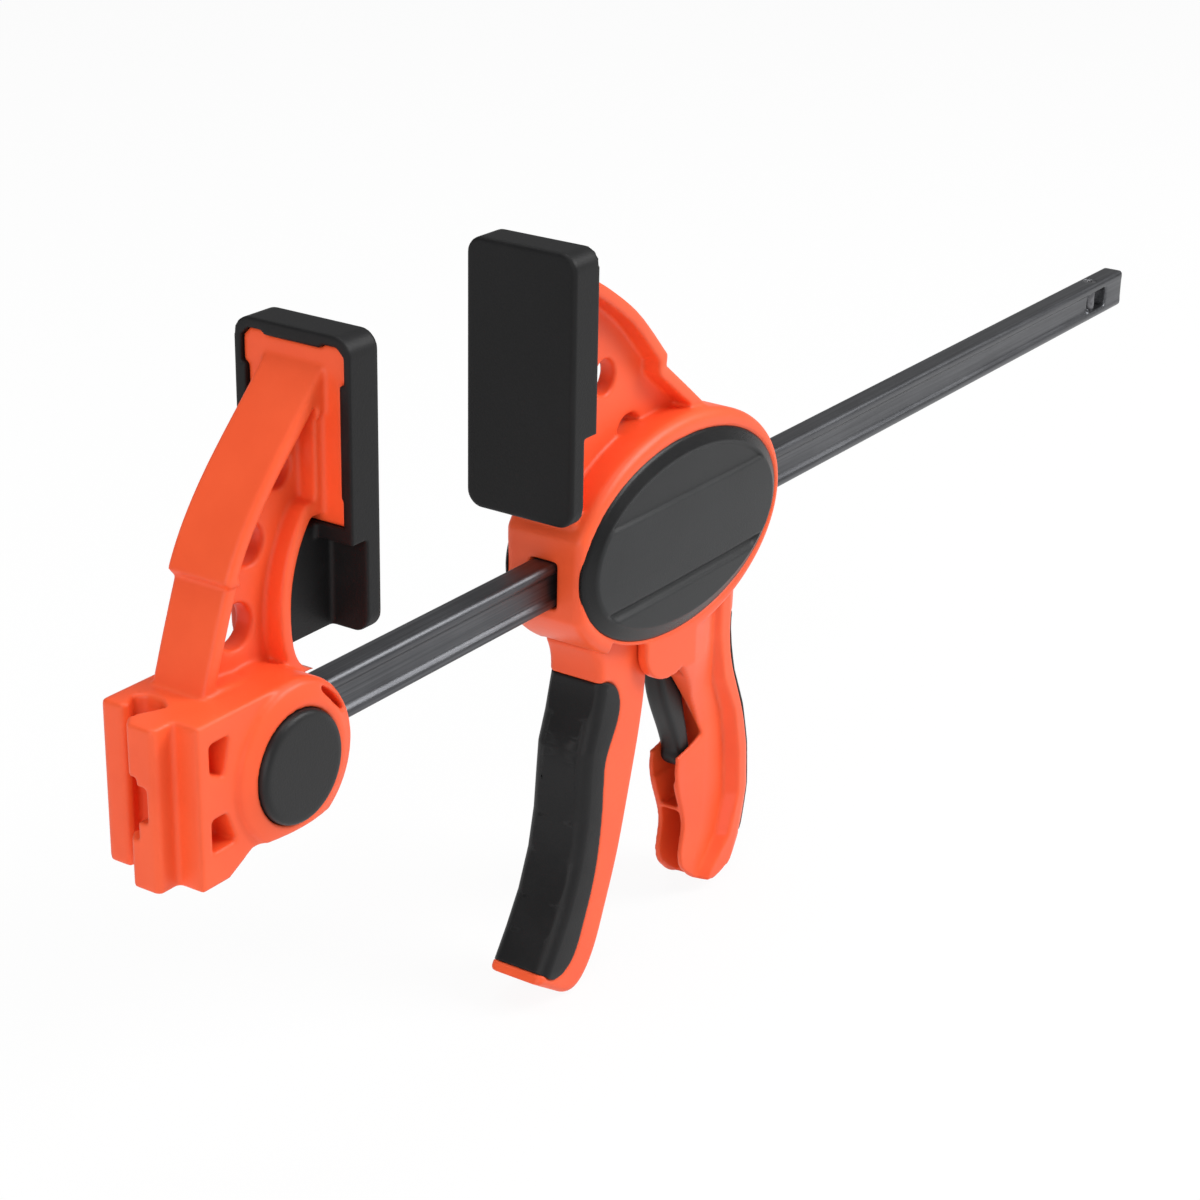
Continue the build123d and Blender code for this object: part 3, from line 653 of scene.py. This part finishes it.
@dataclass(frozen=True)
class Cover:
    """A side cover's outer face: a bevelled rim with a fine step, a raised band and a groove under it."""

    centre: tuple[float, float] = (0.132, 0.002 + BAR_AXIS_Z)
    half_length: float = 0.0472
    half_height: float = 0.0272
    seat: float = 0.0114
    rise: float = 0.0031
    crown: float = 0.0006
    rim: float = 0.0040
    rim_drop: float = 0.0016
    rim_roll: float = 0.0009
    rim_step: float = 0.0004
    rim_step_width: float = 0.0006
    flat_fade: float = 0.0010
    band_top: float = 0.0112
    band_step: float = 0.0009
    band_step_width: float = 0.0009
    groove: float = -0.0124
    groove_half: float = 0.0017
    groove_depth: float = 0.0014
    rings: int = 130
    spokes: int = 320

    def height(self, z: float, inward: float) -> float:
        """How far the face stands above the seat.

        Args:
            z: The height above the cover's centre.
            inward: The distance in from the rim.

        Returns:
            The height in metres.
        """
        sunk = max(0.0, 1.0 - inward / self.half_height)
        face = self.rise - self.crown * sunk * sunk
        past_rim = inward - self.rim
        bevel = max(0.0, 1.0 - inward / self.rim)
        face -= self.rim_drop * bevel + self.rim_step * (1.0 - smooth_step(past_rim / self.rim_step_width))
        roll = max(0.0, 1.0 - inward / self.rim_roll)
        face -= self.rim_roll * (1.0 - math.sqrt(1.0 - roll * roll))
        flat = smooth_step(past_rim / self.flat_fade)
        face -= self.band_step * smooth_step((z - self.band_top) / self.band_step_width) * flat
        across = abs(z - self.groove) / self.groove_half
        return face - self.groove_depth * max(0.0, 1.0 - across * across) * flat

    def mesh(self, side: Side) -> bpy.types.Mesh:
        """The whole closed cover.

        Args:
            side: The side that it is on.

        Returns:
            The cover's mesh, in place.
        """
        points = [(self.centre[0], side * (self.seat + self.height(0.0, self.half_height)), self.centre[1])]
        for ring in range(1, self.rings + 1):
            share = ring / self.rings
            for spoke in range(self.spokes):
                angle = 2 * math.pi * spoke / self.spokes
                reach_x = self.half_length * math.cos(angle)
                reach_z = self.half_height * math.sin(angle)
                slope = math.hypot(math.cos(angle) / self.half_length, math.sin(angle) / self.half_height)
                inward = (1 - share) / slope
                z = share * reach_z
                points.append((self.centre[0] + share * reach_x, side * (self.seat + self.height(z, inward)),
                               self.centre[1] + z))
        count = self.spokes
        last = 1 + (self.rings - 1) * count
        back = len(points)
        points += [(x, side * self.seat, z) for x, _, z in points[last:last + count]]
        faces: list[tuple[int, ...]] = [(0, 1 + spoke, 1 + (spoke + 1) % count) for spoke in range(count)]
        for ring in range(self.rings):
            start = 1 + ring * count
            for spoke in range(count):
                near = start + spoke
                following = start + (spoke + 1) % count
                faces.append((near, near + count, following + count, following))
        faces.append(tuple(back + spoke for spoke in reversed(range(count))))
        if side > 0:
            faces = [tuple(reversed(face)) for face in faces]
        mesh = bpy.data.meshes.new("cover")
        mesh.from_pydata(points, [], faces)
        mesh.validate()
        return mesh


@dataclass(frozen=True)
class CoverMoulding(Moulding):
    """A cover's plastic: textured in the middle; smoother and darkened with painted shade on the rim and,
    more weakly, above the raised band.
    """

    cover: Cover = Cover()
    rim_span: Span = (0.97, 1.03)
    crescent_share: float = 0.35

    def shade_and_gloss_mask(self, graph: Graph) -> Signal:
        """A mask of the rim and, more weakly, of the crescent above the raised band, where the colour is
        darkened with painted shade and the roughness is lowered.

        Args:
            graph: The material's graph.

        Returns:
            The mask, 1 on the rim.
        """
        point = graph.place()
        along = graph.part(point, Axis.X) - self.cover.centre[0]
        up = graph.part(point, Axis.Z) - self.cover.centre[1]
        inner_length = self.cover.half_length - self.cover.rim
        inner_height = self.cover.half_height - self.cover.rim
        reach = (along * (1 / inner_length)) ** 2 + (up * (1 / inner_height)) ** 2
        step = (self.cover.band_top, self.cover.band_top + self.cover.band_step_width)
        crescent = self.crescent_share * graph.between(up, step)
        # Painted shade: the rim and the crescent are darkened in colour, standing in for the shade that falls
        # there.
        return graph.between(reach, self.rim_span).larger(crescent)


@dataclass(frozen=True)
class FrontRound:
    """The round of the lever grip's front corners, which follows the lever's front line, in millimetres."""

    line: tuple[tuple[float, float], ...] = (
        (99.6, -31.0), (96.6, -42.0), (93.6, -50.0), (92.8, -58.0), (91.8, -69.0), (89.4, -80.0),
        (85.0, -91.0), (79.6, -100.0), (73.3, -109.2),
    )
    bar_height: float = BAR_AXIS_Z / MILLIMETRE
    half_width: float = 8.9
    radius: float = 3.9

    def front(self, z: float) -> float:
        """Find the front line at a height.

        Args:
            z: The height from the bar's axis.

        Returns:
            The front line's X there.
        """
        for (x_upper, z_upper), (x_lower, z_lower) in zip(self.line, self.line[1:]):
            if z >= z_lower:
                share = min(1.0, (z_upper - z) / (z_upper - z_lower))
                return x_upper + share * (x_lower - x_upper)
        return self.line[-1][0]

    def apply(self, mesh: bpy.types.Mesh) -> None:
        """Draw the mesh's sides in near its front line.

        Args:
            mesh: The grip's mesh, in place.
        """
        for vertex in mesh.vertices:
            x, y, z = (part / MILLIMETRE for part in vertex.co)
            lean = self.radius - max(0.0, x - self.front(z - self.bar_height))
            if lean <= 0.0:
                continue
            reach = self.half_width - self.radius + math.sqrt(max(0.0, self.radius ** 2 - lean ** 2))
            if abs(y) > reach:
                vertex.co.y = math.copysign(reach * MILLIMETRE, y)


@dataclass
class Controls:
    """The button, the trigger, the grips and the covers."""

    # The near-black colour given last below is painted shade on the cover's rim and upper crescent.
    cover_finish: CoverMoulding = CoverMoulding(
        "cover_plastic", display(46, 47, 48), display(41, 42, 43), display(72, 73, 74), roughness=0.46,
        relief=0.00005, specular=0.22, painted_shade_colour=display(15, 15, 16),
    )
    button: Moulding = Moulding(
        "control_plastic", display(27, 27, 28), display(23, 23, 24), display(60, 60, 60), roughness=0.45,
        relief=0.00004, specular=0.32,
    )
    grip: Rubber = Rubber(
        "grip_rubber", display(23, 23, 24), display(32, 32, 33), roughness=0.5, specular=0.25,
    )
    cover: Cover = Cover()
    front_round: FrontRound = FrontRound()
    control_softening: Softening = Softening(0.00035, 14, 0.4)
    grip_softening: Softening = Softening(0.0004, 9, 0.4)
    skirt_start: float = -0.0180
    skirt_kept: float = 0.86

    def shorten_skirt(self, mesh: bpy.types.Mesh) -> None:
        """Draw the button's skirt in, which leaves room behind it when it is pressed.

        Args:
            mesh: The button's mesh, in place.
        """
        for vertex in mesh.vertices:
            behind = vertex.co.y - self.skirt_start
            if behind > 0.0:
                vertex.co.y = self.skirt_start + self.skirt_kept * behind

    def build(self, nodes: Nodes) -> None:
        """Build the dark pieces.

        Args:
            nodes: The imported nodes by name.
        """
        plastic = self.cover_finish.material()
        for node, side in (("right_side_cover", Side.BUTTON), ("left_side_cover", Side.FAR)):
            add_piece(node + "_moulding", self.cover.mesh(side), plastic, "head", node)
        control = self.button.material()
        for node, body in (("push_button", "button"), ("release_trigger", "brake")):
            mesh = self.control_softening.mesh(nodes[node])
            if node == "push_button":
                self.shorten_skirt(mesh)
            add_piece(node + "_moulding", mesh, control, body, node)
        dress(nodes, ("lock_cap",), control)
        rubber = self.grip.material()
        for node, body in (("lever_grip", "lever"), ("handle_grip", "head")):
            mesh = self.grip_softening.mesh(nodes[node])
            if node == "lever_grip":
                self.front_round.apply(mesh)
            add_piece(node + "_rubber", mesh, rubber, body, node)


@dataclass(frozen=True)
class PressedSpring:
    """A coil copied into a node's place, which moves with its joint's parent body."""

    node: str
    joint: str
    room: float = 0.0003

    def build(self, nodes: Nodes, joints: Sequence[dict[str, Any]], steel: bpy.types.Material) -> None:
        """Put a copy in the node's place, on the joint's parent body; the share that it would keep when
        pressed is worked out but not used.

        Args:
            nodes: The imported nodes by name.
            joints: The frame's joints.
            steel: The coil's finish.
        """
        joint = next(made for made in joints if made["name"] == self.joint)
        axis = tuple(float(part) for part in joint["axis"])
        travel = joint["range_m"][1]
        low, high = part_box(self.node)
        length = (high - low).dot(Vector(axis))
        mesh = nodes[self.node].data.copy()
        coil = add_piece(self.node + "_coil", mesh, steel, joint["parent"], self.node)
        keep = (length - travel - self.room) / length
        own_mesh(coil)


@dataclass
class Metalwork:
    """The bar, its pins, the plates and the springs."""

    bar: Steel = Steel(
        "bar_steel", display(98, 99, 102), display(76, 77, 80), display(104, 105, 108), lay=Lay.ALONG_X,
        roughness=0.40, relief=0.00001,
    )
    bar_softening: Softening = Softening(0.0005, 6, merged=0.8)
    plate: Steel = Steel(
        "plate_steel", display(150, 150, 152), display(110, 108, 105), display(205, 205, 205),
        lay=Lay.ALONG_Z, roughness=0.38,
    )
    pin: Steel = Steel(
        "pin_steel", display(135, 135, 138), display(95, 95, 98), display(200, 200, 200), roughness=0.35,
    )
    spring: Steel = Steel(
        "spring_steel", display(165, 165, 168), display(130, 128, 124), display(215, 215, 215), roughness=0.3,
    )
    pressed: tuple[PressedSpring, ...] = (
        PressedSpring("button_spring", "button_press"),
        PressedSpring("drive_spring", "drive_slide"),
    )

    def build(self, nodes: Nodes, joints: Sequence[dict[str, Any]]) -> None:
        """Build the bar and the pressed springs, and dress the other steel pieces.

        Args:
            nodes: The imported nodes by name.
            joints: The frame's joints.
        """
        mesh = self.bar_softening.mesh(nodes["bar"])
        add_piece("rolled_bar", mesh, self.bar.material(), "bar_and_fixed_jaw", "bar")
        plates = ("lock_yoke", "front_drive_plate", "rear_drive_plate", "brake_plate")
        dress(nodes, plates, self.plate.material())
        dress(nodes, ("jaw_end_pin", "bar_end_pin", "lever_pivot_pin"), self.pin.material())
        coil_steel = self.spring.material()
        dress(nodes, ("brake_spring",), coil_steel)
        for spring in self.pressed:
            spring.build(nodes, joints, coil_steel)


@dataclass(frozen=True)
class Lamp:
    """One square soft lamp: where it hangs, its side and its power in watts."""

    name: str
    place: Point
    size: float
    power: float

    def hang(self, aim: Point) -> None:
        """Hang the lamp.

        Args:
            aim: The point that it faces.
        """
        data = bpy.data.lights.new(self.name, "AREA")
        data.size = self.size
        data.energy = self.power
        lamp = bpy.data.objects.new(self.name, data)
        lamp.location = self.place
        direction = Vector(aim) - Vector(self.place)
        lamp.rotation_euler = direction.to_track_quat("-Z", "Y").to_euler()
        bpy.context.scene.collection.objects.link(lamp)


@dataclass
class Studio:
    """Pale floor, soft lamps, the surround and the camera."""

    eye: Point = (-0.44424, -0.37078, 0.20827)
    right: Point = (0.540, -0.841, 0.030)
    down: Point = (-0.314, -0.234, -0.920)
    lens: float = 82.60
    sensor: float = 36.0
    sight: float = 30.0
    shift: tuple[float, float] = (-0.0645, 0.0196)
    floor_drop: float = 0.0004
    floor_half: float = 6.0
    floor_grey: float = 0.86
    floor_glow: float = 0.93
    lamps: tuple[Lamp, ...] = (
        Lamp("key_lamp", (0.95, -1.05, 1.0), 0.9, 25.0),
        Lamp("top_lamp", (0.15, 0.1, 1.6), 1.1, 12.5),
        Lamp("left_lamp", (-1.35, -0.45, 0.45), 0.9, 10.5),
    )
    lamp_aim: Point = (0.05, 0.0, -0.03)
    ambient: float = 0.28

    def build(self) -> None:
        """Make the floor, the lamps, the world and the camera."""
        self.floor()
        for lamp in self.lamps:
            lamp.hang(self.lamp_aim)
        self.world()
        self.camera()

    def floor(self) -> None:
        """A wide pale floor just under the clamp, nearly pure white to the camera and to reflections."""
        low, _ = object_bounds()
        half, height = self.floor_half, low[2] - self.floor_drop
        mesh = bpy.data.meshes.new("floor")
        corners = [(-half, -half, height), (half, -half, height), (half, half, height), (-half, half, height)]
        mesh.from_pydata(corners, [], [(0, 1, 2, 3)])
        floor = bpy.data.objects.new("floor", mesh)
        bpy.context.scene.collection.objects.link(floor)
        graph = material_graph("floor_paper")
        seen = graph.ray(Ray.CAMERA).larger(graph.ray(Ray.GLOSSY)).larger(graph.ray(Ray.THROUGH))
        grey = self.floor_grey
        paper = graph.node("ShaderNodeBsdfDiffuse", inputs={"Color": (grey, grey, grey, 1.0)})
        white = graph.node("ShaderNodeEmission", inputs={"Color": WHITE, "Strength": 1.0})
        graph.close(graph.mixed(self.floor_glow * seen, paper, white))
        mesh.materials.append(graph.owner)
        floor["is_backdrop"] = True

    def world(self) -> None:
        """An even pale surround, which the camera itself sees as white."""
        world = bpy.data.worlds.new("studio")
        graph = Graph(world, "ShaderNodeOutputWorld")
        dim = graph.node("ShaderNodeBackground", inputs={"Color": WHITE, "Strength": self.ambient})
        white = graph.node("ShaderNodeBackground", inputs={"Color": WHITE, "Strength": 1.0})
        graph.close(graph.mixed(graph.ray(Ray.CAMERA), dim, white))
        bpy.context.scene.world = world

    def camera(self) -> None:
        """The camera, turned so that its right and down directions are as given."""
        data = bpy.data.cameras.new("camera")
        data.lens = self.lens
        data.sensor_width = self.sensor
        data.shift_x, data.shift_y = self.shift
        data.clip_end = self.sight
        camera = bpy.data.objects.new("camera", data)
        right = Vector(self.right).normalized()
        up = -Vector(self.down).normalized()
        back = right.cross(up).normalized()
        up = back.cross(right)
        turn = Matrix((right, up, back)).transposed().to_4x4()
        camera.matrix_world = Matrix.Translation(self.eye) @ turn
        bpy.context.scene.collection.objects.link(camera)
        bpy.context.scene.camera = camera


def main() -> None:
    """Load the frame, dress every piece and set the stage."""
    logging.basicConfig(level=logging.INFO, format="%(name)s: %(message)s")
    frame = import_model()
    nodes = frame["nodes"]
    Jaws().build(nodes)
    Controls().build(nodes)
    Metalwork().build(nodes, frame["joints"])
    Studio().build()
    bpy.context.scene.view_settings.view_transform = "Standard"


if __name__ == "__main__":
    main()
